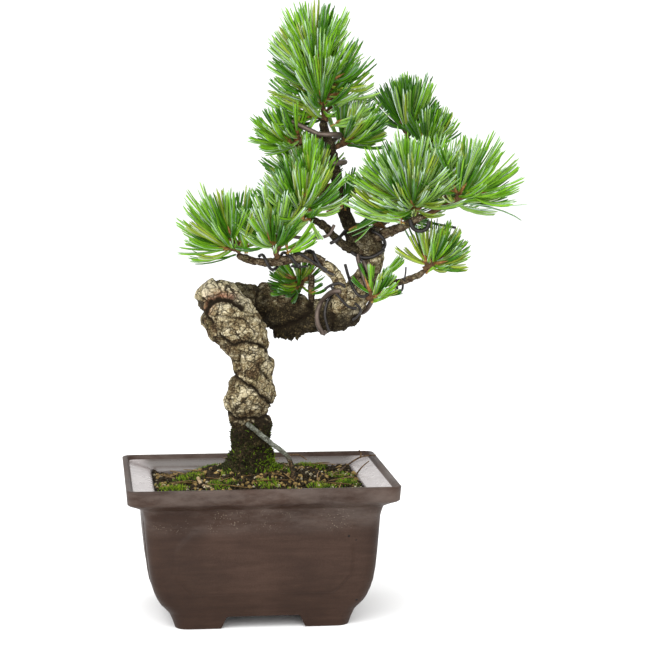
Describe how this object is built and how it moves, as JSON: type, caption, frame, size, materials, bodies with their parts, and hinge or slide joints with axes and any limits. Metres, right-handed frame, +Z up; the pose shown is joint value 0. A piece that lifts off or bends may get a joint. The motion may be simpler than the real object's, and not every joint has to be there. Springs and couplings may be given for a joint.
{
  "type": "japanese white pine bonsai",
  "caption": "Small potted pine with a thick folded trunk, wired boughs that carry tufts of long needles, and a footed brown clay pot filled with mossy soil.",
  "frame": {"origin": "middle of the underside of the bounding box of plant and pot, at table level", "axes": "+X to the viewer's right in the picture, +Y away from the viewer, +Z up"},
  "size_m": [0.1916, 0.1036, 0.2992],
  "materials": {
    "clay": "matt unglazed brown clay",
    "soil": "rough dark grains with moss",
    "old_bark": "rough flaking grey-tan bark",
    "young_bark": "rough brown young bark",
    "brown_wire": "brown anodised, satin",
    "dark_wire": "dark anodised, satin",
    "needles": "satin green needles"
  },
  "bodies": {
    "root": {"pot": "clay", "soil": "soil", "trunk_lower": "old_bark", "trunk_middle": "old_bark", "trunk_upper": "old_bark", "leader": "young_bark", "bough_left_rise": "young_bark", "bough_left": "young_bark", "bough_left_mid": "young_bark", "bough_right_pad": "young_bark", "bough_right_low": "young_bark", "bough_back_right": "young_bark", "bough_back_left": "young_bark", "bough_back_low": "young_bark", "cut_stub": "young_bark", "grey_stick": "young_bark", "wire_trunk": "brown_wire", "wire_leader": "brown_wire", "wire_left_bough": "dark_wire", "needles_apex": "needles", "needles_apex_right": "needles", "needles_upper_left": "needles", "needles_centre": "needles", "needles_left_mid": "needles", "needles_left_end": "needles", "needles_left_inner": "needles", "needles_low_back": "needles", "needles_right_pad": "needles", "needles_right_end": "needles", "needles_back_right": "needles", "needles_back_end": "needles", "needles_right_low": "needles", "needles_low_tuft": "needles", "needles_back_left": "needles", "needles_back_low": "needles"}
  },
  "joints": []
}
